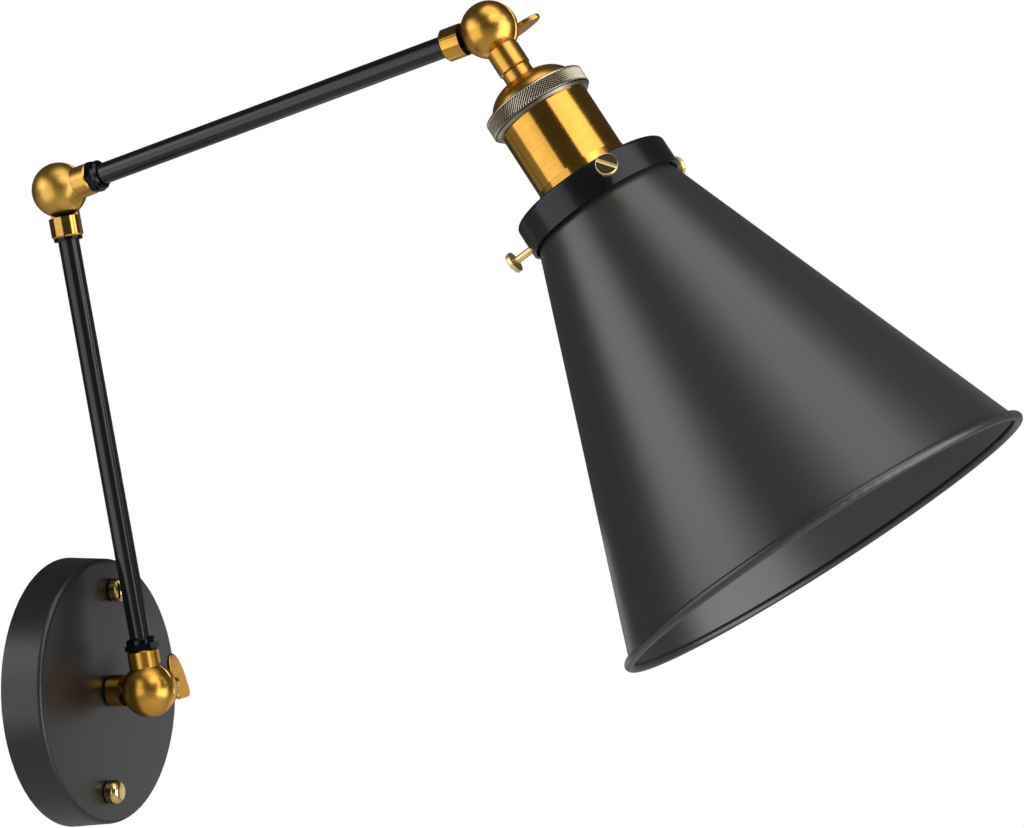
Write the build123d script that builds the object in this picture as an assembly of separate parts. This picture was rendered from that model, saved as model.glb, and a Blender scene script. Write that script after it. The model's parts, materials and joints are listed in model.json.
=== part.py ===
# Swing arm wall lamp: round wall canopy, two arms on clamped ball knuckles, brass lamp socket, conical shade.
# Millimetres, +Z up. The origin is the canopy's centre on the wall plane y = 0, and the room lies towards -Y.
import os

from build123d import *

# Pose at rest, in degrees; the arms and the head lean from straight up towards the room
swivel_angle = 11.0
lower_arm_angle = -6.5
upper_arm_angle = 77.0
head_angle = 149.5

# Clearances
fit = 0.05
running = 0.08
face_gap = 0.1

# Canopy on the wall
canopy_d = 120.0
canopy_front_d = 117.6
canopy_depth = 19.0
canopy_wall = 1.2
canopy_edge_r = 2.0

# Mounting bracket behind the canopy
bar_length = 106.0
bar_width = 22.0
bar_thickness = 1.6
bar_corner_r = 4.0
bar_cable_hole_d = 16.0
wall_slot_spacing = 60.0
wall_slot_length = 14.0
wall_slot_width = 4.6
stud_spacing = 89.6
stud_d = 4.0
cap_nut_d = 10.8
cap_nut_height = 6.8
cap_nut_dome = 3.2
cap_nut_base_r = 1.4
cap_nut_roof = 2.0
ground_screw_d = 3.5
ground_screw_head_d = 6.4
ground_screw_head_height = 2.0

# Ball knuckles: two half balls on a split plane, each with a round neck
ball_d = 24.5
ball_standoff = 20.0
ball_wall = 2.6
boss_d = 9.0
split_gap = 0.2
seam_bevel = 0.6
neck_d = 14.1
front_neck = 18.0
rear_neck = 21.5
head_neck = 21.1
neck_bevel = 0.9
front_relief = 1.0
rear_relief = 2.0
seat_floor = 0.9
wire_bore_d = 6.4

# Thumbscrew through each ball
thumb_d = 4.8
thumb_reach = 7.5
thumb_spot_depth = 1.0
thumb_shoulder_d = 8.2
thumb_shoulder_height = 2.0
thumb_stem_d = 5.0
paddle_centre = 26.0
paddle_width = 12.0
paddle_long_end = 13.2
paddle_short_end = 7.6
paddle_corner_r = 3.0
paddle_thickness = 2.2
paddle_edge_r = 0.7
lowest_paddle_angle = -7.0
elbow_paddle_angle = 180.0
head_paddle_angle = -87.0

# Arms, ball centre to ball centre
lower_arm_length = 225.0
upper_arm_length = 219.5
tube_d = 9.4
tube_wall = 1.0
lock_nut_flats = 13.2
lock_nut_height = 2.6
ferrule_d = 13.3
ferrule_height = 2.8
ferrule_bevel = 0.9
end_ring_d = 12.8
end_ring_height = 1.2
wire_d = 3.2
wire_spread = 3.5

# Threaded nipples in the stub and in the socket cap
nipple_d = 9.5
nipple_wall = 1.5
nipple_tail = 1.5
stub_washer_d = 18.0
stub_washer_height = 1.0
stub_nut_flats = 14.0
stub_nut_height = 3.5
nut_bevel = 0.5

# Lamp socket
hub_d = 13.0
hub_height = 4.8
dome_height = 8.7
dome_bulge = 2.6
cap_d = 39.2
cap_wall = 1.0
ring_d = 46.2
ring_height = 8.6
ring_edge_r = 1.2
ring_chamfer = 1.8
shell_d = 40.5
shell_wall = 0.8
shell_showing = 29.0
band_top_d = 40.9
band_d = 42.4
band_height = 6.5
spigot_length = 7.0
shell_lip = 1.0
head_wire_d = 2.4
head_wire_spread = 2.9
head_wire_tail = 6.0
porcelain_setback = 1.6
porcelain_floor = 13.0
porcelain_chamfer = 0.8
screw_shell_bore = 26.4
screw_shell_wall = 0.5
screw_shell_length = 23.0
contact_d = 8.0
contact_height = 2.2
contact_gap = 1.0

# Shade and its collar
collar_d = 71.0
collar_height = 13.3
collar_wall = 1.2
collar_edge_r = 1.6
collar_ring_d = 51.0
collar_ring_height = 3.6
shade_neck_d = 63.0
shade_neck_height = 6.7
shade_cone_height = 168.3
shade_wall = 0.8
shade_lip = 1.4
shade_top_gap = 1.4
rim_d = 190.0
bead_d = 4.0
shade_screw_count = 3
shade_screw_first = 149.0
shade_screw_d = 3.2
shade_screw_rise = 6.0
shade_screw_proud = 10.3
shade_screw_head_d = 9.2
shade_screw_head_height = 2.0
shade_screw_edge_r = 0.7
shade_screw_slot = 1.1
shade_screw_slot_depth = 1.0
shade_screw_slot_bevel = 0.25
shade_screw_slot_angle = 40.0

base = (Align.CENTER, Align.CENTER, Align.MIN)
along_x = Rot(0, 90, 0)
cos_30 = 3 ** 0.5 / 2


# Round bar along z between two stations
def rod(diameter, start, end):
    return Pos(0, 0, start) * Cylinder(diameter / 2, end - start, align=base)


# Round bar with a bore
def pipe(diameter, bore, start, end):
    return rod(diameter, start, end) - rod(bore, start, end)


# Solid turned about z from a closed outline of (radius, station) points
def turned(*outline):
    return revolve(Plane.XZ * make_face(Polyline(*outline, close=True)), Axis.Z)


# Hexagon nut with bevelled corners
def hex_nut(flats, bore, start, height):
    blank = Pos(0, 0, start) * extrude(RegularPolygon(flats / 2, 6, major_radius=False), height)
    corner = flats / 2 / cos_30
    end = start + height
    turning = turned((0, start), (corner - nut_bevel, start), (corner, start + nut_bevel),
                     (corner, end - nut_bevel), (corner - nut_bevel, end), (0, end))
    return (blank & turning) - rod(bore, start, end)


ball_r = ball_d / 2
canopy_r = canopy_d / 2
canopy_front_r = canopy_front_d / 2
nipple_bore = nipple_d - 2 * nipple_wall
tube_bore = tube_d - 2 * tube_wall

# Frames: out of the wall, then along the stub's neck, along each arm and down the head's axis
wall = Rot(90, 0, 0)
lowest_ball = Rot(0, -swivel_angle, 0) * Pos(0, -(canopy_depth + ball_standoff), 0)
stub = lowest_ball * Rot(-90, 0, 0)
lower_arm = lowest_ball * Rot(lower_arm_angle, 0, 0)
upper_arm = lower_arm * Pos(0, 0, lower_arm_length) * Rot(upper_arm_angle - lower_arm_angle, 0, 0)
head = upper_arm * Pos(0, 0, upper_arm_length) * Rot(head_angle - upper_arm_angle, 0, 0)
far_end = Rot(180, 0, 0)


# Wall side: canopy dish, bracket, studs, cap nuts and ground screw
def canopy():
    dish = Cone(canopy_r, canopy_front_r, canopy_depth, align=base)
    dish = fillet(dish.edges().group_by(Axis.Z)[-1], canopy_edge_r)
    inner_height = canopy_depth - canopy_wall
    inside = Cone(canopy_r - canopy_wall, canopy_front_r - canopy_wall, inner_height, align=base)
    inside = fillet(inside.edges().group_by(Axis.Z)[-1], max(canopy_edge_r - canopy_wall, canopy_wall / 2))
    dish = dish - inside - rod(nipple_d + 2 * running, 0, canopy_depth)
    for y in (-stud_spacing / 2, stud_spacing / 2):
        dish = dish - Pos(0, y, 0) * rod(stud_d + 2 * fit, 0, canopy_depth)
    return wall * dish


def mounting_bracket():
    outline = RectangleRounded(bar_width, bar_length, bar_corner_r) - Circle(bar_cable_hole_d / 2)
    for side in (-1, 1):
        slot = Rot(0, 0, 90) * SlotOverall(wall_slot_length, wall_slot_width)
        outline = outline - Pos(0, side * wall_slot_spacing / 2) * slot
        outline = outline - Pos(0, side * stud_spacing / 2) * Circle(stud_d / 2 + fit)
    outline = outline - Pos(0, ground_screw_y) * Circle(ground_screw_d / 2 + fit)
    return wall * extrude(outline, bar_thickness)


# The ground screw sits midway between the cable hole and the upper wall slot
ground_screw_y = (bar_cable_hole_d / 2 + (wall_slot_spacing - wall_slot_length) / 2) / 2


def ground_screw():
    top = bar_thickness + ground_screw_head_height
    screw = rod(ground_screw_d, 0, top) + rod(ground_screw_head_d, bar_thickness, top)
    screw = fillet(screw.edges().group_by(Axis.Z)[-1], ground_screw_head_height / 3)
    slot_size = ground_screw_head_height / 2
    slot = Box(ground_screw_head_d, slot_size, slot_size, align=base)
    return wall * Pos(0, ground_screw_y, 0) * (screw - Pos(0, 0, top - slot_size) * slot)


def pair_on_studs(piece):
    return wall * (Pos(0, -stud_spacing / 2, 0) * piece + Pos(0, stud_spacing / 2, 0) * piece)


def canopy_studs():
    return pair_on_studs(rod(stud_d, 0, canopy_depth + cap_nut_height - cap_nut_roof - face_gap))


def canopy_cap_nuts():
    top = canopy_depth + cap_nut_height
    nut = rod(cap_nut_d, canopy_depth, top)
    nut = fillet(nut.edges().group_by(Axis.Z)[-1], cap_nut_dome)
    nut = fillet(nut.edges().group_by(Axis.Z)[0], cap_nut_base_r)
    return pair_on_studs(nut - rod(stud_d + 2 * fit, canopy_depth, top - cap_nut_roof))


# Half ball with a bevelled rim on the -x side, its neck along z; past the split plane the neck is cut back
def half_ball(neck_length, relief, seat_d):
    reach = 4 * (neck_length + ball_d)
    own_side = Pos(-(reach + split_gap) / 2, 0, 0) * Box(reach, reach, reach)
    neck = rod(neck_d, 0, neck_length)
    neck = chamfer(neck.edges().group_by(Axis.Z)[-1], neck_bevel)
    neck = neck - (Sphere(ball_r + relief) - own_side)
    seam = turned((ball_r - seam_bevel, 0), (ball_r + seam_bevel, 2 * seam_bevel),
                  (ball_r + seam_bevel, -2 * seam_bevel))
    body = (Sphere(ball_r) & own_side) - along_x * seam + neck
    boss = along_x * rod(boss_d, -ball_d, ball_d)
    body = body - (Sphere(ball_r - ball_wall) - boss)
    body = body - rod(wire_bore_d, (boss_d + ball_wall) / 2, neck_length)
    return body - rod(seat_d + 2 * fit, ball_r + relief + seat_floor, neck_length)


# Front half, which takes the thumbscrew's tip in a blind hole
def front_knuckle(neck_length, seat_d):
    hole = rod(thumb_d + 2 * running, -thumb_reach - face_gap, 0)
    return half_ball(neck_length, front_relief, seat_d) - along_x * hole


# Rear half, with the thumbscrew right through and a spot face under its shoulder
def rear_knuckle(neck_length, seat_d):
    hole = rod(thumb_d + 2 * running, -ball_d, 0)
    spot = rod(thumb_shoulder_d + 2 * running, -ball_d, thumb_spot_depth - ball_r)
    return Rot(0, 0, 180) * (half_ball(neck_length, rear_relief, seat_d) - along_x * (hole + spot))


# Deepest station of what is screwed into a neck
def seat_end(relief):
    return ball_r + relief + seat_floor + face_gap


# Thumbscrew along x; its paddle lies along z, blunt at the short end and oval at the long end
def thumbscrew():
    spot = ball_r - thumb_spot_depth + face_gap
    shoulder_end = spot + thumb_shoulder_height
    screw = rod(thumb_d, -thumb_reach, spot) + rod(thumb_shoulder_d, spot, shoulder_end)
    screw = along_x * (screw + rod(thumb_stem_d, shoulder_end, paddle_centre - paddle_width / 4))
    oval = Ellipse(paddle_width / 2, paddle_long_end)
    tip = oval - Pos(0, -paddle_long_end) * Rectangle(2 * paddle_width, 2 * paddle_long_end)
    blunt = Pos(0, -paddle_short_end / 2) * Rectangle(paddle_width, paddle_short_end)
    blunt = fillet(blunt.vertices().group_by(Axis.Y)[0], paddle_corner_r)
    leaf = extrude(Plane.XZ * (tip + blunt), paddle_thickness / 2, both=True)
    leaf = fillet(leaf.edges().filter_by(Axis.Y, reverse=True), paddle_edge_r)
    return screw + Pos(paddle_centre, 0, 0) * leaf


# Stub that turns in the canopy
stub_end = ball_standoff - face_gap
canopy_inside = ball_standoff + canopy_wall + face_gap
stub_nut_start = canopy_inside + stub_washer_height
stub_nut_end = stub_nut_start + stub_nut_height


def stub_nipple():
    return stub * pipe(nipple_d, nipple_bore, seat_end(rear_relief), stub_nut_end + nipple_tail)


# Arm pieces along z, with a front knuckle at 0 and a rear knuckle at the arm's length
tube_start = seat_end(front_relief)
ferrule_start = front_neck + lock_nut_height
ferrule_end = ferrule_start + ferrule_height


def arm_tube(arm_length):
    return pipe(tube_d, tube_bore, tube_start, arm_length - seat_end(rear_relief))


def arm_ferrule():
    inner = tube_d / 2 + fit
    outer = ferrule_d / 2
    return turned((inner, ferrule_start), (outer, ferrule_start), (outer, ferrule_end - ferrule_bevel),
                  (outer - ferrule_bevel, ferrule_end), (inner, ferrule_end))


def wire_pair(diameter, spread, start, end):
    wire = rod(diameter, start, end)
    return Pos(0, -spread / 2, 0) * wire + Pos(0, spread / 2, 0) * wire


def arm_wires(arm_length):
    return wire_pair(wire_d, wire_spread, tube_start, arm_length - seat_end(rear_relief))


# Socket stations down the head's axis, from the ball's centre
hub_start = head_neck
dome_start = hub_start + hub_height
dome_end = dome_start + dome_height
ring_end = dome_end + ring_height
ring_step = (dome_end + ring_end) / 2
band_start = ring_end + shell_showing
band_end = band_start + band_height
shell_end = band_end + spigot_length
porcelain_start = ring_end + porcelain_setback
porcelain_end = shell_end - shell_lip
well_floor = porcelain_start + porcelain_floor
screw_shell_start = well_floor + screw_shell_wall
screw_shell_end = screw_shell_start + screw_shell_length
contact_end = screw_shell_start - face_gap
contact_start = contact_end - contact_height
nipple_end = dome_start + cap_wall + nipple_tail


def socket_nipple():
    return pipe(nipple_d, nipple_bore, seat_end(front_relief), nipple_end)


def socket_cap():
    hub_r = hub_d / 2
    cap_r = cap_d / 2
    dome = SagittaArc((hub_r, dome_start), (cap_r, dome_end), -dome_bulge)
    rest = Polyline((cap_r, dome_end), (cap_r, ring_step), (0, ring_step), (0, hub_start), (hub_r, hub_start),
                    (hub_r, dome_start))
    blank = revolve(Plane.XZ * make_face(dome.edges() + rest.edges()), Axis.Z)
    inner_r = cap_r - cap_wall
    ceiling = dome_start + cap_wall
    roof = SagittaArc((hub_r, ceiling), (inner_r, dome_end + cap_wall), -dome_bulge)
    walls = Polyline((inner_r, dome_end + cap_wall), (inner_r, ring_step), (0, ring_step), (0, ceiling),
                     (hub_r, ceiling))
    hollow = revolve(Plane.XZ * make_face(roof.edges() + walls.edges()), Axis.Z)
    return blank - hollow - rod(nipple_d + 2 * fit, hub_start, ceiling)


def knurled_ring():
    ring = rod(ring_d, dome_end, ring_end)
    ring = fillet(ring.edges().group_by(Axis.Z)[0], ring_edge_r)
    ring = chamfer(ring.edges().group_by(Axis.Z)[-1], ring_chamfer)
    return ring - rod(cap_d + 2 * fit, dome_end, ring_step) - rod(shell_d + 2 * fit, ring_step, ring_end)


# Thin shell with a band that flares a little towards the collar
def socket_shell():
    bore = shell_d - 2 * shell_wall
    band = Pos(0, 0, band_start) * Cone(band_top_d / 2, band_d / 2, band_height, align=base)
    shell = rod(shell_d, ring_step, shell_end) + band
    return shell - rod(bore, ring_step, porcelain_end) - rod(bore - 2 * shell_lip, porcelain_end, shell_end)


def socket_porcelain():
    body = rod(shell_d - 2 * shell_wall - 2 * fit, porcelain_start, porcelain_end)
    body = chamfer(body.edges().group_by(Axis.Z)[0], porcelain_chamfer)
    well = rod(screw_shell_bore + 2 * screw_shell_wall + 2 * fit, well_floor, porcelain_end)
    well = well + rod(contact_d + 2 * fit, contact_start, well_floor)
    for side in (-1, 1):
        lead_hole = rod(head_wire_d + 2 * fit, porcelain_start, porcelain_start + head_wire_tail)
        body = body - Pos(0, side * head_wire_spread / 2, 0) * lead_hole
    return body - well


def screw_shell():
    outer = screw_shell_bore + 2 * screw_shell_wall
    shell = pipe(outer, screw_shell_bore, screw_shell_start, screw_shell_end)
    return shell + pipe(outer, contact_d + 2 * contact_gap, well_floor, screw_shell_start)


# Contact button, let into the porcelain below the floor of the screw shell
def centre_contact():
    contact = rod(contact_d, contact_start, contact_end)
    return fillet(contact.edges().group_by(Axis.Z)[-1], contact_height / 2)


def head_wires():
    return wire_pair(head_wire_d, head_wire_spread, seat_end(front_relief), porcelain_start + head_wire_tail)


# Collar on the socket's band, with its retaining ring, screws and shade
collar_end = band_end + collar_height
plate_end = band_end + collar_wall
screw_station = collar_end - shade_screw_rise
shade_start = plate_end + shade_top_gap
cone_start = shade_start + shade_neck_height
bead_station = cone_start + shade_cone_height
shade_neck_r = shade_neck_d / 2
bead_ring_r = (rim_d - bead_d) / 2
screw_angles = [shade_screw_first + 360 / shade_screw_count * i for i in range(shade_screw_count)]


def shade_collar():
    cup = rod(collar_d, band_end, collar_end)
    cup = fillet(cup.edges().group_by(Axis.Z)[0], collar_edge_r)
    cup = cup - rod(collar_d - 2 * collar_wall, plate_end, collar_end)
    cup = cup - rod(shell_d + 2 * fit, band_end, plate_end)
    hole = Pos(0, 0, screw_station) * along_x * rod(shade_screw_d + 2 * running, 0, collar_d)
    for angle in screw_angles:
        cup = cup - Rot(0, 0, angle) * hole
    return cup


def shade():
    cone_r = bead_ring_r - bead_d / 12
    lip_r = shade_neck_r + shade_lip
    lip_end = shade_start + shade_wall
    inner_r = shade_neck_r - shade_wall
    rim_inner_r = cone_r - shade_wall
    wall_skin = turned((lip_r, shade_start), (lip_r, lip_end), (shade_neck_r, lip_end),
                       (shade_neck_r, cone_start), (cone_r, bead_station), (rim_inner_r, bead_station),
                       (inner_r, cone_start), (inner_r, shade_start))
    bead = Pos(0, 0, bead_station) * Torus(bead_ring_r, bead_d / 2)
    return wall_skin + bead


def shade_screw(angle):
    head_start = collar_d / 2 + shade_screw_proud
    head_end = head_start + shade_screw_head_height
    screw = rod(shade_screw_d, shade_neck_r + face_gap, head_start)
    screw = screw + rod(shade_screw_head_d, head_start, head_end)
    screw = fillet(screw.edges().group_by(Axis.Z)[-1], shade_screw_edge_r)
    half_slot = shade_screw_slot / 2
    slot_floor = head_end - shade_screw_slot_depth
    bevel_end = head_end - shade_screw_slot_bevel
    half_mouth = half_slot + shade_screw_slot_bevel
    section = Polyline((-half_mouth, head_end), (-half_slot, bevel_end), (-half_slot, slot_floor),
                       (half_slot, slot_floor), (half_slot, bevel_end), (half_mouth, head_end), close=True)
    slot = extrude(Plane.YZ * make_face(section), shade_screw_head_d, both=True)
    screw = screw - Rot(0, 0, shade_screw_slot_angle) * slot
    return Rot(0, 0, angle) * Pos(0, 0, screw_station) * along_x * screw


nodes = {
    "canopy": canopy(),
    "mounting_bracket": mounting_bracket(),
    "canopy_studs": canopy_studs(),
    "canopy_cap_nuts": canopy_cap_nuts(),
    "ground_screw": ground_screw(),
    "wall_stub": stub * rear_knuckle(stub_end, nipple_d),
    "stub_nipple": stub_nipple(),
    "stub_washer": stub * pipe(stub_washer_d, nipple_d + 2 * fit, canopy_inside, stub_nut_start),
    "stub_nut": stub * hex_nut(stub_nut_flats, nipple_d + 2 * fit, stub_nut_start, stub_nut_height),
    "head_knuckle": head * front_knuckle(head_neck, nipple_d),
    "socket_nipple": head * socket_nipple(),
    "socket_cap": head * socket_cap(),
    "knurled_ring": head * knurled_ring(),
    "socket_shell": head * socket_shell(),
    "socket_porcelain": head * socket_porcelain(),
    "screw_shell": head * screw_shell(),
    "centre_contact": head * centre_contact(),
    "head_wires": head * head_wires(),
    "shade_collar": head * shade_collar(),
    "collar_ring": head * pipe(collar_ring_d, shell_d + 2 * fit, plate_end, plate_end + collar_ring_height),
    "shade": head * shade(),
    "lowest_thumbscrew": lower_arm * Rot(lowest_paddle_angle, 0, 0) * thumbscrew(),
    "elbow_thumbscrew": upper_arm * Rot(elbow_paddle_angle, 0, 0) * thumbscrew(),
    "head_thumbscrew": head * Rot(head_paddle_angle, 0, 0) * thumbscrew(),
}

# Both arms are made alike
arms = (("lower_arm", lower_arm, lower_arm_length), ("upper_arm", upper_arm, upper_arm_length))
for name, frame, arm_length in arms:
    nodes[name + "_knuckle"] = frame * front_knuckle(front_neck, tube_d)
    nodes[name + "_lock_nut"] = frame * hex_nut(lock_nut_flats, tube_d + 2 * fit, front_neck, lock_nut_height)
    nodes[name + "_ferrule"] = frame * arm_ferrule()
    nodes[name + "_tube"] = frame * arm_tube(arm_length)
    nodes[name + "_wires"] = frame * arm_wires(arm_length)
    nodes[name + "_far_knuckle"] = frame * Pos(0, 0, arm_length) * far_end * rear_knuckle(rear_neck, tube_d)

# Thin ring where the lower arm's tube enters its far knuckle
ring_place = lower_arm_length - rear_neck
end_ring = pipe(end_ring_d, tube_d + 2 * fit, ring_place - end_ring_height, ring_place)
nodes["lower_arm_end_ring"] = lower_arm * end_ring

for number, angle in enumerate(screw_angles, 1):
    nodes[f"shade_screw_{number}"] = head * shade_screw(angle)

os.makedirs("parts", exist_ok=True)
for name, piece in nodes.items():
    export_step(piece, f"parts/{name}.step")
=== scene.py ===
import json
import math

import bmesh
import bpy
from mathutils import Matrix, Vector


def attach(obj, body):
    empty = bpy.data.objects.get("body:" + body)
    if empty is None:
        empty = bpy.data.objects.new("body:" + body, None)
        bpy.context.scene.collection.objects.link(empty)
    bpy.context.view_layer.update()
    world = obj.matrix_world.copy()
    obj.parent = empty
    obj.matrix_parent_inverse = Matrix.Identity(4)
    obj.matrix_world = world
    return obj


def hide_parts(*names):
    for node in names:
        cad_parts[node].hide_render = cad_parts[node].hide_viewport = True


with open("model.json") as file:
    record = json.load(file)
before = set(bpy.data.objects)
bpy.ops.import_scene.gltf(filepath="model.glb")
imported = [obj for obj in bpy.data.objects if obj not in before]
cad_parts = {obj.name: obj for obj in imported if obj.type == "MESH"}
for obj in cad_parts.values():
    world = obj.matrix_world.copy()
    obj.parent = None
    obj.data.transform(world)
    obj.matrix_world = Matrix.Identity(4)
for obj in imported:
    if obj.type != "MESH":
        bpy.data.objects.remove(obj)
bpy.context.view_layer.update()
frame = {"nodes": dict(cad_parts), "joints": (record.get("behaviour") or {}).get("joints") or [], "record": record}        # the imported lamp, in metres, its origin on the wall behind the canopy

nodes = frame["nodes"]
joints = {joint["name"]: joint for joint in frame["joints"]}
mounts = {mount["name"]: mount for mount in frame["record"]["mounts"]}
mm = 0.001
print("lamp loaded:", len(nodes), "nodes")


# where the lamp's own axes run: z along the piece, x along the balls' pivots
def axisFrame(origin, along, across):
    along = Vector(along).normalized()
    across = (Vector(across) - along * along.dot(Vector(across))).normalized()
    turn = Matrix((across, along.cross(across), along)).transposed().to_4x4()
    return Matrix.Translation(Vector(origin)) @ turn


lowBall = Vector(joints["base_pivot"]["pos_m"])
elbowBall = Vector(joints["elbow_pivot"]["pos_m"])
headBall = Vector(joints["head_pivot"]["pos_m"])
pivotAxis = Vector(joints["base_pivot"]["axis"])
frames = {
    "stub": axisFrame(lowBall, (0, 1, 0), pivotAxis),
    "lowerArm": axisFrame(lowBall, elbowBall - lowBall, pivotAxis),
    "upperArm": axisFrame(elbowBall, headBall - elbowBall, pivotAxis),
    "head": axisFrame(headBall, mounts["lamp_socket"]["axis"], pivotAxis),
}
print("axes found")


def linear(hexColour):
    parts = [int(hexColour[i:i + 2], 16) / 255 for i in (1, 3, 5)]
    return tuple(p / 12.92 if p <= 0.04045 else ((p + 0.055) / 1.055) ** 2.4 for p in parts) + (1.0,)


def addNode(tree, kind, values=None, links=None, stops=(), **settings):
    node = tree.nodes.new(kind)
    for key, value in settings.items():
        setattr(node, key, value)
    for key, value in (values or {}).items():
        node.inputs[key].default_value = value
    for key, source in (links or {}).items():
        tree.links.new(source, node.inputs[key])
    for place, _ in stops[1:-1]:     # a colour ramp comes with its two end tones
        node.color_ramp.elements.new(place)
    for i, (place, colour) in enumerate(stops):
        node.color_ramp.elements[i].position = place
        node.color_ramp.elements[i].color = linear(colour)
    return node


def startMaterial(name, place=None):
    material = bpy.data.materials.new(name)
    material.use_nodes = True
    tree = material.node_tree
    tree.nodes.clear()
    shader = addNode(tree, "ShaderNodeBsdfPrincipled")
    addNode(tree, "ShaderNodeOutputMaterial", links={"Surface": shader.outputs["BSDF"]})
    where = addNode(tree, "ShaderNodeTexCoord").outputs["Object"]
    if place is not None:     # pattern measured along the piece's own axis
        where = addNode(tree, "ShaderNodeMapping",
                        {"Location": place.translation, "Rotation": place.to_euler()},
                        {"Vector": where}, vector_type="TEXTURE").outputs["Vector"]
    return material, tree, shader, where


# a noise pattern keeps mostly between these, so a finish's dark and light tones sit there
noiseSpan = (0.3, 0.7)

# antique brass, turned and brushed round its axis, then lacquered: fine lines that run round the piece,
# golden where a softbox shows in it, brown between, and painted shade, dark brown, in the corners; the real
# lines are about 0.1 mm apart and are drawn wider so that they show; lengths here and below in millimetres
antiqueBrass = {"streak": 0.55, "streakLength": 16.0, "streakDetail": 3.0, "streakRough": 0.6,
                "mottle": 11.0, "mottleDetail": 4.0, "mottleShare": 0.5,
                "dark": "#bb8420", "light": "#d6a134", "edge": "#f0c57c",
                "bump": 0.10, "bumpDepth": 0.02, "lacquer": 0.8,
                "cornerShade": "#2a1a0a", "corner": 3.0, "cornerOpen": (0.25, 0.7), "cornerRays": 8}


def brushedBrass(name, place, **changes):
    look = dict(antiqueBrass, **changes)
    material, tree, shader, where = startMaterial(name, place)
    stretch = (1 / look["streakLength"], 1 / look["streakLength"], 1 / look["streak"])
    drawn = addNode(tree, "ShaderNodeMapping", {"Scale": stretch}, {"Vector": where}).outputs["Vector"]
    streaks = addNode(tree, "ShaderNodeTexNoise",
                      {"Scale": 1 / mm, "Detail": look["streakDetail"], "Roughness": look["streakRough"]},
                      {"Vector": drawn}).outputs["Fac"]
    mottle = addNode(tree, "ShaderNodeTexNoise",
                     {"Scale": 1 / (look["mottle"] * mm), "Detail": look["mottleDetail"]},
                     {"Vector": where}).outputs["Fac"]
    tone = addNode(tree, "ShaderNodeMix", {"Factor": look["mottleShare"]},
                   {"A": streaks, "B": mottle}).outputs["Result"]
    brass = addNode(tree, "ShaderNodeValToRGB", links={"Fac": tone},
                    stops=[*zip(noiseSpan, (look["dark"], look["light"]))]).outputs["Color"]
    # painted shade: the brass goes towards dark brown where nearby surfaces close a corner in
    openness = addNode(tree, "ShaderNodeAmbientOcclusion", {"Distance": look["corner"] * mm},
                       samples=look["cornerRays"]).outputs["AO"]
    unshaded = addNode(tree, "ShaderNodeMapRange",
                    {"From Min": look["cornerOpen"][0], "From Max": look["cornerOpen"][1]},
                    {"Value": openness}).outputs["Result"]
    toned = addNode(tree, "ShaderNodeMix", {"A": linear(look["cornerShade"])}, {"Factor": unshaded, "B": brass},
                   data_type="RGBA").outputs["Result"]
    rough = addNode(tree, "ShaderNodeMapRange", {"To Min": look["rough"][0], "To Max": look["rough"][1]},
                    {"Value": streaks}).outputs["Result"]
    relief = addNode(tree, "ShaderNodeBump",
                     {"Strength": look["bump"], "Distance": look["bumpDepth"] * mm},
                     {"Height": streaks}).outputs["Normal"]
    shader.inputs["Metallic"].default_value = 1.0
    shader.inputs["Specular Tint"].default_value = linear(look["edge"])
    shader.inputs["Coat Weight"].default_value = look["lacquer"]
    shader.inputs["Coat Roughness"].default_value = look["rough"][0]
    tree.links.new(toned, shader.inputs["Base Color"])
    tree.links.new(rough, shader.inputs["Roughness"])
    tree.links.new(relief, shader.inputs["Normal"])
    return material


# black powder coat, sprayed and baked: satin, a faint orange-peel skin, highlights that spread wide
powderCoat = {"peel": 0.9, "grit": 0.25, "detail": 2.0, "gritShare": 0.35,
              "dark": "#262627", "light": "#2c2c2d", "rough": (0.28, 0.35),
              "bump": 0.12, "bumpDepth": 0.03, "ior": 1.6}


def blackCoat(name, **changes):
    look = dict(powderCoat, **changes)
    material, tree, shader, where = startMaterial(name)
    peel = addNode(tree, "ShaderNodeTexNoise", {"Scale": 1 / (look["peel"] * mm), "Detail": look["detail"]},
                   {"Vector": where}).outputs["Fac"]
    grit = addNode(tree, "ShaderNodeTexNoise", {"Scale": 1 / (look["grit"] * mm), "Detail": look["detail"]},
                   {"Vector": where}).outputs["Fac"]
    skin = addNode(tree, "ShaderNodeMix", {"Factor": look["gritShare"]},
                   {"A": peel, "B": grit}).outputs["Result"]
    tone = addNode(tree, "ShaderNodeValToRGB", links={"Fac": skin},
                   stops=[*zip(noiseSpan, (look["dark"], look["light"]))]).outputs["Color"]
    rough = addNode(tree, "ShaderNodeMapRange", {"To Min": look["rough"][0], "To Max": look["rough"][1]},
                    {"Value": grit}).outputs["Result"]
    relief = addNode(tree, "ShaderNodeBump",
                     {"Strength": look["bump"], "Distance": look["bumpDepth"] * mm},
                     {"Height": skin}).outputs["Normal"]
    shader.inputs["IOR"].default_value = look["ior"]
    tree.links.new(tone, shader.inputs["Base Color"])
    tree.links.new(rough, shader.inputs["Roughness"])
    tree.links.new(relief, shader.inputs["Normal"])
    return material


# plain metals, glaze and wire cover: one mottled tone with a little unevenness in the polish
plainFinish = {"mottle": 3.0, "detail": 4.0, "metallic": 1.0, "bump": 0.05, "bumpDepth": 0.02}


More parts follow.
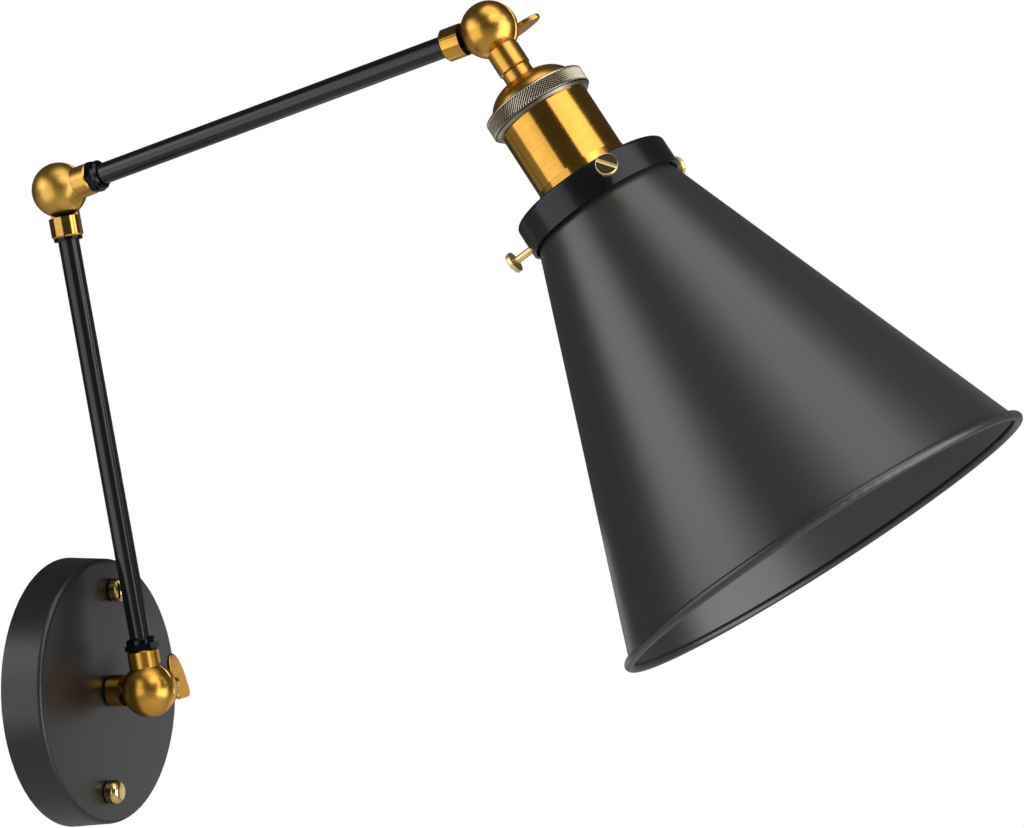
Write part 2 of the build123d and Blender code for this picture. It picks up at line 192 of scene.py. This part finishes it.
def plainSurface(name, **changes):
    look = dict(plainFinish, **changes)
    material, tree, shader, where = startMaterial(name)
    mottle = addNode(tree, "ShaderNodeTexNoise",
                     {"Scale": 1 / (look["mottle"] * mm), "Detail": look["detail"]},
                     {"Vector": where}).outputs["Fac"]
    tone = addNode(tree, "ShaderNodeValToRGB", links={"Fac": mottle},
                   stops=[*zip(noiseSpan, (look["dark"], look["light"]))]).outputs["Color"]
    rough = addNode(tree, "ShaderNodeMapRange", {"To Min": look["rough"][0], "To Max": look["rough"][1]},
                    {"Value": mottle}).outputs["Result"]
    relief = addNode(tree, "ShaderNodeBump",
                     {"Strength": look["bump"], "Distance": look["bumpDepth"] * mm},
                     {"Height": mottle}).outputs["Normal"]
    shader.inputs["Metallic"].default_value = look["metallic"]
    tree.links.new(tone, shader.inputs["Base Color"])
    tree.links.new(rough, shader.inputs["Roughness"])
    tree.links.new(relief, shader.inputs["Normal"])
    return material


# turned brass screws, pale brass with painted shade on the end face: bright rim and slot edges round a dull
# olive end; each tone stands at its distance from the head's axis
screwHead = {"tones": ((47.6, "#f3dc9c"), (47.76, "#f3dc9c"), (47.8, "#352c18")),
             "mottle": 2.5, "detail": 4.0, "rough": (0.22, 0.34), "metallic": 0.75}
# knurled bronze: painted shade in the rolled pits, pale bronze on the lines between them and the plain
# edges
knurledBronze = {"tones": ((22.4, "#9d9586"), (22.5, "#2b261e"), (22.8, "#2b261e"), (23.0, "#a9a08e")),
                 "mottle": 4.0, "detail": 4.0, "rough": (0.26, 0.34), "metallic": 1.0}


def toneByReach(name, place, look):
    material, tree, shader, where = startMaterial(name, place)
    mottle = addNode(tree, "ShaderNodeTexNoise",
                     {"Scale": 1 / (look["mottle"] * mm), "Detail": look["detail"]},
                     {"Vector": where}).outputs["Fac"]
    across = addNode(tree, "ShaderNodeVectorMath", {1: (1, 1, 0)}, {0: where},
                     operation="MULTIPLY").outputs["Vector"]
    reach = addNode(tree, "ShaderNodeVectorMath", links={0: across}, operation="LENGTH").outputs["Value"]
    inner, outer = look["tones"][0][0], look["tones"][-1][0]
    depth = addNode(tree, "ShaderNodeMapRange", {"From Min": inner * mm, "From Max": outer * mm},
                    {"Value": reach}).outputs["Result"]
    stops = [((r - inner) / (outer - inner), colour) for r, colour in look["tones"]]
    tone = addNode(tree, "ShaderNodeValToRGB", links={"Fac": depth}, stops=stops).outputs["Color"]
    rough = addNode(tree, "ShaderNodeMapRange", {"To Min": look["rough"][0], "To Max": look["rough"][1]},
                    {"Value": mottle}).outputs["Result"]
    shader.inputs["Metallic"].default_value = look["metallic"]
    tree.links.new(tone, shader.inputs["Base Color"])
    tree.links.new(rough, shader.inputs["Roughness"])
    return material


finishes = {
    # the same brass on each piece, lines round that piece's own axis, some pieces rubbed brighter
    "stubBrass": brushedBrass("brushed antique brass, stub", frames["stub"], rough=(0.14, 0.2)),
    "lowerBrass": brushedBrass("brushed antique brass, lower arm", frames["lowerArm"], rough=(0.25, 0.33)),
    "lowerTopBrass": brushedBrass("polished antique brass, lower arm", frames["lowerArm"],
                                  rough=(0.1, 0.16), dark="#b5882b", light="#cfa343"),
    "upperBrass": brushedBrass("satin antique brass, upper arm", frames["upperArm"], rough=(0.3, 0.4),
                               dark="#b5882b", light="#cfa343"),
    "upperTopBrass": brushedBrass("polished antique brass, upper arm", frames["upperArm"],
                                  rough=(0.12, 0.18)),
    "headBrass": brushedBrass("brushed antique brass, head", frames["head"], rough=(0.24, 0.32)),
    "shellBrass": brushedBrass("brushed antique brass, shell", frames["head"], rough=(0.1, 0.18),
                               bump=0.16),
    # coats: the shade and canopy satin, the tubes and collar glossier with narrow highlights
    "satinBlack": blackCoat("satin black powder coat"),
    "canopyBlack": blackCoat("satin black powder coat, canopy", dark="#111112", light="#161617",
                             rough=(0.32, 0.38), ior=1.53),
    "tubeBlack": blackCoat("semi-gloss black enamel", dark="#0b0b0c", light="#101011", rough=(0.19, 0.24),
                           bump=0.04, ior=1.5),
    "collarBlack": blackCoat("semi-gloss black enamel, collar", dark="#0d0d0e", light="#121213",
                             rough=(0.2, 0.26), bump=0.06, ior=1.4),
    # small hardware: blue-black nuts, pale polished brass, dull grey plating, yellow contacts, white glaze,
    # a green ground screw and dull black wire covers
    "nutBlack": plainSurface("black oxide steel", dark="#232527", light="#2d2f31", rough=(0.16, 0.24)),
    "bronze": toneByReach("aged bronze, knurled", frames["head"], knurledBronze),
    "polishedBrass": plainSurface("polished brass", dark="#c8ab66", light="#dbc285", rough=(0.12, 0.18)),
    "screwBrass": toneByReach("turned brass, shade screws", frames["head"], screwHead),
    "zinc": plainSurface("zinc plated steel", dark="#a3a6a8", light="#b6b8b9", rough=(0.28, 0.4),
                         mottle=6.0),
    "contact": plainSurface("rolled contact brass", dark="#c9a55c", light="#d6b671", rough=(0.2, 0.3)),
    "porcelain": plainSurface("glazed porcelain", dark="#e3e0d7", light="#ebe8e0", rough=(0.08, 0.14),
                              metallic=0.0),
    "greenScrew": plainSurface("green chromate steel", dark="#1f5a33", light="#2a6b3f", rough=(0.3, 0.4)),
    "wireCover": plainSurface("black PVC wire cover", dark="#131313", light="#1b1b1b", rough=(0.45, 0.55),
                              metallic=0.0),
}
wearing = {
    "stubBrass": ["wall_stub", "lowest_thumbscrew"],
    "lowerBrass": ["lower_arm_knuckle"],
    "lowerTopBrass": ["lower_arm_far_knuckle"],
    "upperBrass": ["upper_arm_knuckle", "elbow_thumbscrew"],
    "upperTopBrass": ["upper_arm_far_knuckle"],
    "headBrass": ["head_knuckle", "head_thumbscrew", "socket_cap"],
    "shellBrass": ["socket_shell"],
    "satinBlack": ["shade"],
    "canopyBlack": ["canopy"],
    "tubeBlack": ["lower_arm_tube", "upper_arm_tube"],
    "collarBlack": ["shade_collar"],
    "nutBlack": ["lower_arm_lock_nut", "lower_arm_ferrule", "lower_arm_end_ring", "upper_arm_lock_nut",
                 "upper_arm_ferrule"],
    "bronze": ["knurled_ring"],
    "polishedBrass": ["canopy_cap_nuts"],
    "screwBrass": ["shade_screw_1", "shade_screw_2", "shade_screw_3"],
    "zinc": ["mounting_bracket", "canopy_studs", "stub_nipple", "stub_washer", "stub_nut", "socket_nipple",
             "collar_ring"],
    "contact": ["screw_shell", "centre_contact"],
    "porcelain": ["socket_porcelain"],
    "greenScrew": ["ground_screw"],
    "wireCover": ["lower_arm_wires", "upper_arm_wires", "head_wires"],
}
for finish, names in wearing.items():
    for name in names:
        slots = nodes[name].data.materials
        slots.clear()
        slots.append(finishes[finish])
print("finishes on", sum(len(names) for names in wearing.values()), "nodes")


# a finished bmesh, drawn in millimetres along z, becomes a piece in its place; an edge that bends by more
# than sharpAngle degrees stays sharp
def placePiece(shape, name, place, finish, sharpAngle):
    bmesh.ops.recalc_face_normals(shape, faces=shape.faces)
    for edge in shape.edges:
        edge.smooth = len(edge.link_faces) == 2 and edge.calc_face_angle(0) < math.radians(sharpAngle)
    for face in shape.faces:
        face.smooth = True
    bmesh.ops.transform(shape, matrix=place @ Matrix.Scale(mm, 4), verts=shape.verts)
    data = bpy.data.meshes.new(name)
    shape.to_mesh(data)
    shape.free()
    data.materials.append(finishes[finish])
    piece = bpy.data.objects.new(name, data)
    bpy.context.scene.collection.objects.link(piece)
    return piece


# knurled ring of the socket: diamond pits rolled into its rim, about 1.3 mm apart
knurl = {"radius": 23.1, "start": 34.6, "end": 43.2, "edge": 0.7, "edgeSteps": 5, "land": 0.1,
         "chamfer": 1.7, "capBore": 19.65, "shellBore": 20.3, "step": 38.9, "diamonds": 108, "rows": 10,
         "depth": 0.5, "sharp": 18}
hair = 0.01     # closer than this counts as on the line
knurlTop = knurl["start"] + knurl["edge"] + knurl["land"]
knurlBottom = knurl["end"] - knurl["chamfer"]
ringShape = bmesh.new()
ringOutline = [(knurl["radius"], knurlTop), (knurl["radius"], knurlBottom),
               (knurl["radius"] - knurl["chamfer"], knurl["end"]), (knurl["shellBore"], knurl["end"]),
               (knurl["shellBore"], knurl["step"]), (knurl["capBore"], knurl["step"]),
               (knurl["capBore"], knurl["start"]), (knurl["radius"], knurl["start"])]
ringVerts = [ringShape.verts.new((r, 0, s)) for r, s in ringOutline]
ringEdges = [ringShape.edges.new((a, b)) for a, b in zip(ringVerts, ringVerts[1:] + ringVerts[:1])]
bmesh.ops.subdivide_edges(ringShape, edges=ringEdges[:1], cuts=knurl["rows"] - 1)
bmesh.ops.spin(ringShape, geom=ringShape.verts[:] + ringShape.edges[:], cent=(0, 0, 0), axis=(0, 0, 1),
               angle=2 * math.pi, steps=2 * knurl["diamonds"], use_merge=True)
rim = [e for e in ringShape.edges
       if all(v.co.z < knurl["start"] + hair and v.co.xy.length > knurl["radius"] - hair for v in e.verts)]
bmesh.ops.bevel(ringShape, geom=rim, offset=knurl["edge"], segments=knurl["edgeSteps"], profile=0.5,
                affect="EDGES", material=-1)
rowHeight = (knurlBottom - knurlTop) / knurl["rows"]
rolled = [v for v in ringShape.verts
          if v.co.xy.length > knurl["radius"] - hair and v.co.z > knurlTop - hair]
for vert in rolled:     # every second point goes down and becomes the middle of a pit
    turn = round(math.atan2(vert.co.y, vert.co.x) / (math.pi / knurl["diamonds"]))
    row = round((vert.co.z - knurlTop) / rowHeight)
    if (turn + row) % 2 and 0 < row < knurl["rows"]:
        vert.co.xy *= 1 - knurl["depth"] / knurl["radius"]
rolledSet = set(rolled)
bmesh.ops.triangulate(ringShape, faces=[f for f in ringShape.faces if all(v in rolledSet for v in f.verts)],
                      quad_method="LONG_EDGE")
ringPiece = placePiece(ringShape, "knurledRing", frames["head"], "bronze", knurl["sharp"])
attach(ringPiece, "head")
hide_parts("knurled_ring")
print("knurled ring made:", len(ringPiece.data.polygons), "faces")

# rolled thread inside the screw shell, five rounded turns; foot and flank are shares of half a pitch
thread = {"radius": 13.22, "crest": 12.55, "shoulder": 0.35, "pitch": 3.63, "foot": 0.9, "flank": 0.55,
          "start": 60.4, "turns": 5, "steps": 48, "sharp": 50}
threadShape = bmesh.new()
foot, flank = (thread[key] * thread["pitch"] / 2 for key in ("foot", "flank"))
shoulder = thread["crest"] + thread["shoulder"]
threadOutline = [(thread["radius"], -foot), (shoulder, -flank), (thread["crest"], 0), (shoulder, flank),
                 (thread["radius"], foot)]
threadVerts = [threadShape.verts.new((r, 0, thread["start"] + s)) for r, s in threadOutline]
threadFace = threadShape.faces.new(threadVerts)
bmesh.ops.spin(threadShape, geom=[threadFace] + threadFace.edges[:] + threadFace.verts[:], cent=(0, 0, 0),
               axis=(0, 0, 1), dvec=(0, 0, thread["pitch"] / thread["steps"]),
               angle=2 * math.pi * thread["turns"], steps=thread["steps"] * thread["turns"])
threadPiece = placePiece(threadShape, "lampThread", frames["head"], "contact", thread["sharp"])
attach(threadPiece, "head")
print("lamp thread made:", len(threadPiece.data.polygons), "faces")

# camera: angles in degrees, lengths in metres, and the lens from the picture's own pixels
view = {"azimuth": 65.74, "elevation": -8.08, "roll": 0.11, "distance": 1.5, "target": (0, -0.15, 0.15),
        "right": 0.05886, "up": -0.0327, "pixels": 3443.04, "width": 1024, "sensor": 36, "nearest": 0.01}
az, el, roll = (math.radians(view[key]) for key in ("azimuth", "elevation", "roll"))
toCamera = Vector((-math.sin(az) * math.cos(el), -math.cos(az) * math.cos(el), math.sin(el)))
levelRight = Vector((0, 0, 1)).cross(toCamera).normalized()
levelUp = toCamera.cross(levelRight)
viewRight = levelRight * math.cos(roll) + levelUp * math.sin(roll)
viewUp = levelUp * math.cos(roll) - levelRight * math.sin(roll)
target = Vector(view["target"]) + viewRight * view["right"] + viewUp * view["up"]

cameraData = bpy.data.cameras.new("photoView")
cameraData.sensor_fit = "HORIZONTAL"
cameraData.sensor_width = view["sensor"]
cameraData.lens = view["pixels"] / view["width"] * view["sensor"]
cameraData.clip_start = view["nearest"]
camera = bpy.data.objects.new("photoView", cameraData)
camera.matrix_world = Matrix.Translation(target + toCamera * view["distance"]) @ Matrix(
    (viewRight, viewUp, toCamera)).transposed().to_4x4()
bpy.context.scene.collection.objects.link(camera)
bpy.context.scene.camera = camera
print("camera set")

# softboxes round and above the head, each facing it, and a small one close to the lowest ball; degrees and
# metres, and glow is how bright the box's own face is, where 1 is white
softboxes = {
    "left": {"azimuth": -64, "elevation": -14, "distance": 0.7, "size": (0.68, 0.74), "glow": 1.3},
    "left rear": {"azimuth": -79, "elevation": 13, "distance": 1.5, "size": (1.05, 0.75), "glow": 1.45},
    "right": {"azimuth": 63, "elevation": -10, "distance": 1.0, "size": (0.93, 1.25), "glow": 3.2},
    "right high": {"azimuth": 38, "elevation": 34, "distance": 2.0, "size": (2.5, 1.0), "glow": 2.1},
    "right rear": {"azimuth": 147, "elevation": -10, "distance": 0.6, "size": (0.55, 0.6), "glow": 0.12},
    "low right": {"azimuth": 138, "elevation": -4, "distance": 0.17, "size": (0.12, 0.16), "glow": 0.65,
                  "aim": lowBall},
    "top": {"azimuth": 10, "elevation": 66, "distance": 0.7, "size": (0.48, 0.7), "glow": 1.05, "turn": 43},
}
ahead = Vector((toCamera.x, toCamera.y, 0)).normalized()


# a way out from the lamp; azimuth 0 is straight towards the camera, right is positive
def wayOut(azimuth, elevation):
    a, e = math.radians(azimuth), math.radians(elevation)
    return (ahead * math.cos(a) + levelRight * math.sin(a)) * math.cos(e) + Vector((0, 0, math.sin(e)))


for name, box in softboxes.items():
    way = wayOut(box["azimuth"], box["elevation"])
    lampData = bpy.data.lights.new("softbox " + name, "AREA")
    lampData.shape = "RECTANGLE"
    lampData.size, lampData.size_y = box["size"]
    lampData.energy = box["glow"] * math.pi * box["size"][0] * box["size"][1]
    lamp = bpy.data.objects.new("softbox " + name, lampData)
    turned = Matrix.Rotation(math.radians(box.get("turn", 0)), 4, "Z")
    spot = box.get("aim", headBall) + way * box["distance"]
    lamp.matrix_world = axisFrame(spot, way, Vector((0, 0, 1)).cross(way)) @ turned
    lamp.visible_camera = False
    bpy.context.scene.collection.objects.link(lamp)
print("softboxes set:", len(softboxes))

# pale paper floor, faintly mottled; lifted towards white for the camera alone, so it throws no more light;
# lengths in metres, the mottle in millimetres
paperFloor = {"height": -0.8, "reach": 6.0, "sides": 96, "mottle": 25.0, "detail": 3.0, "dark": "#dededc",
              "light": "#e3e3e1", "rough": 0.8, "lift": 0.4}
floorMesh = bmesh.new()
bmesh.ops.create_circle(floorMesh, cap_ends=True, segments=paperFloor["sides"], radius=paperFloor["reach"])
bmesh.ops.translate(floorMesh, verts=floorMesh.verts, vec=(0, 0, paperFloor["height"]))
floorData = bpy.data.meshes.new("floor")
floorMesh.to_mesh(floorData)
floorMesh.free()
floor = bpy.data.objects.new("floor", floorData)
bpy.context.scene.collection.objects.link(floor)
floorLook, floorTree, floorShader, floorWhere = startMaterial("pale studio paper")
paper = addNode(floorTree, "ShaderNodeTexNoise",
                {"Scale": 1 / (paperFloor["mottle"] * mm), "Detail": paperFloor["detail"]},
                {"Vector": floorWhere}).outputs["Fac"]
paperTone = addNode(floorTree, "ShaderNodeValToRGB", links={"Fac": paper},
                    stops=[*zip(noiseSpan, (paperFloor["dark"], paperFloor["light"]))]).outputs["Color"]
floorRay = addNode(floorTree, "ShaderNodeLightPath").outputs["Is Camera Ray"]
lift = addNode(floorTree, "ShaderNodeMath", {1: paperFloor["lift"]}, {0: floorRay},
               operation="MULTIPLY").outputs["Value"]
floorShader.inputs["Roughness"].default_value = paperFloor["rough"]
floorShader.inputs["Emission Color"].default_value = (1, 1, 1, 1)
floorTree.links.new(paperTone, floorShader.inputs["Base Color"])
floorTree.links.new(lift, floorShader.inputs["Emission Strength"])
# clear from underneath, so that the lamp can be looked at from below
underside = addNode(floorTree, "ShaderNodeNewGeometry").outputs["Backfacing"]
clear = addNode(floorTree, "ShaderNodeBsdfTransparent").outputs["BSDF"]
oneWay = addNode(floorTree, "ShaderNodeMixShader",
                 links={"Fac": underside, 1: floorShader.outputs["BSDF"], 2: clear}).outputs["Shader"]
floorEnd = next(node for node in floorTree.nodes if node.type == "OUTPUT_MATERIAL")
floorTree.links.new(oneWay, floorEnd.inputs["Surface"])
floorData.materials.append(floorLook)
print("floor laid")

# surround: white for the camera, dim in the lamp's reflections but for a soft glow overhead, even fill
# elsewhere; spread is the cosine from the glow's middle where it starts and where it is full
surround = {"white": 1.0, "fill": 0.38, "darkSide": 0.07, "glow": 0.95, "azimuth": 10, "elevation": 66,
            "spread": (0.82, 0.97)}
world = bpy.data.worlds.new("studio")
bpy.context.scene.world = world
world.use_nodes = True
worldTree = world.node_tree
worldTree.nodes.clear()
ray = addNode(worldTree, "ShaderNodeLightPath").outputs
outward = addNode(worldTree, "ShaderNodeTexCoord").outputs["Generated"]
glowWay = wayOut(surround["azimuth"], surround["elevation"])
aloft = addNode(worldTree, "ShaderNodeVectorMath", {1: glowWay}, {0: outward},
                operation="DOT_PRODUCT").outputs["Value"]
glow = addNode(worldTree, "ShaderNodeMapRange",
               {"From Min": surround["spread"][0], "From Max": surround["spread"][1],
                "To Min": surround["darkSide"], "To Max": surround["glow"]},
               {"Value": aloft}, interpolation_type="SMOOTHSTEP").outputs["Result"]
shiny = addNode(worldTree, "ShaderNodeMath", links={0: ray["Is Glossy Ray"], 1: ray["Is Transmission Ray"]},
                operation="MAXIMUM").outputs["Value"]
seen = addNode(worldTree, "ShaderNodeMix", {"A": surround["fill"]},
               {"Factor": shiny, "B": glow}).outputs["Result"]
strength = addNode(worldTree, "ShaderNodeMix", {"B": surround["white"]},
                   {"Factor": ray["Is Camera Ray"], "A": seen}).outputs["Result"]
sky = addNode(worldTree, "ShaderNodeBackground", {"Color": (1, 1, 1, 1)}, {"Strength": strength})
addNode(worldTree, "ShaderNodeOutputWorld", links={"Surface": sky.outputs["Background"]})
bpy.context.scene.view_settings.view_transform = "Standard"
print("surround set")
